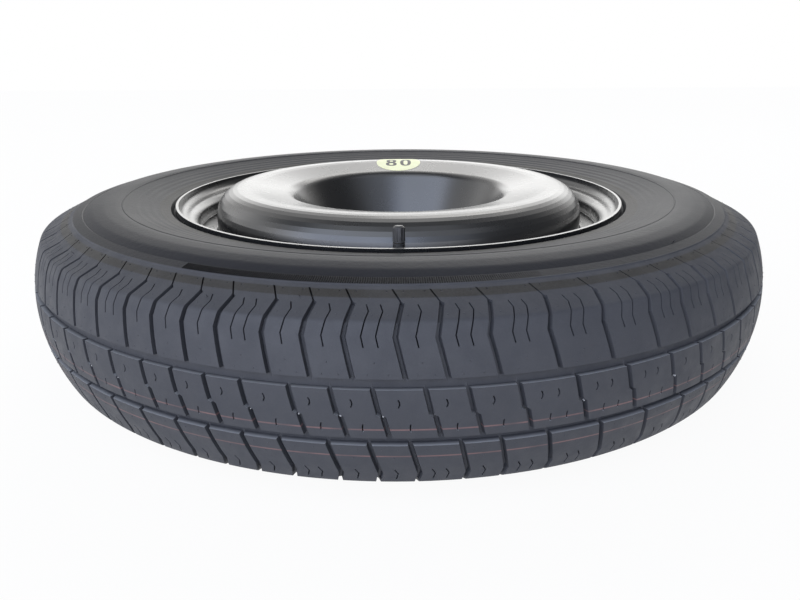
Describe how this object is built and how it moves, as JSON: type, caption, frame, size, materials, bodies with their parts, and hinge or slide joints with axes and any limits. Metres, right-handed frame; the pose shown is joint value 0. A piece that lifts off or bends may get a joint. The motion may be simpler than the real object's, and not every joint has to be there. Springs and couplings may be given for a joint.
{
  "type": "space saver spare wheel",
  "caption": "Narrow temporary-use car wheel: treaded tyre on a pressed steel rim and dished disc, with snap-in valve, valve core and screw cap; lies flat on its sidewall.",
  "frame": {"origin": "on the wheel's axis in the plane that the lower sidewall rests on", "axes": "+Z along the wheel's axis towards the street side, -Y towards the valve"},
  "size_m": [0.6854, 0.6854, 0.1479],
  "materials": {
    "tyre_rubber": "matt dark grey moulded rubber",
    "black_coat": "semi-gloss black dip coat",
    "valve_rubber": "satin black rubber",
    "valve_brass": "turned brass",
    "red_seal": "red seal ring",
    "spring_steel": "drawn spring wire",
    "cap_plastic": "semi-gloss black moulded plastic",
    "yellow_vinyl": "printed vinyl sticker"
  },
  "bodies": {
    "wheel": {"tyre": "tyre_rubber", "rim": "black_coat", "disc": "black_coat", "weld_beads": "black_coat", "valve_rubber": "valve_rubber", "valve_stem": "valve_brass", "core_plug": "valve_brass", "core_barrel": "valve_brass", "core_barrel_seal": "red_seal", "core_spring": "spring_steel", "round_sticker": "yellow_vinyl"},
    "core_poppet": {"core_pin": "valve_brass", "core_cup": "valve_brass", "core_cup_seal": "valve_rubber"},
    "cap_gasket": {"cap_seal": "valve_rubber"},
    "cap": {"valve_cap": "cap_plastic"}
  },
  "joints": [
    {"name": "core_press", "type": "slide", "parent": "wheel", "child": "core_poppet", "axis": [0, -0.1045, -0.9945], "range_m": [0, 0.0012], "stiffness_N_per_m": 600, "deforming": ["core_spring"]},
    {"name": "cap_lift", "type": "slide", "parent": "wheel", "child": "cap_gasket", "axis": [0, 0.1045, 0.9945], "range_m": [0, 0.00952]},
    {"name": "cap_turn", "type": "hinge", "parent": "cap_gasket", "child": "cap", "pos_m": [0, -0.1942, 0.10799], "axis": [0, 0.1045, 0.9945], "range_deg": [0, 4320]}
  ],
  "couplings": [
    {"joint": "cap_turn", "follows": "cap_lift", "rad_per_m": 7915.8}
  ]
}
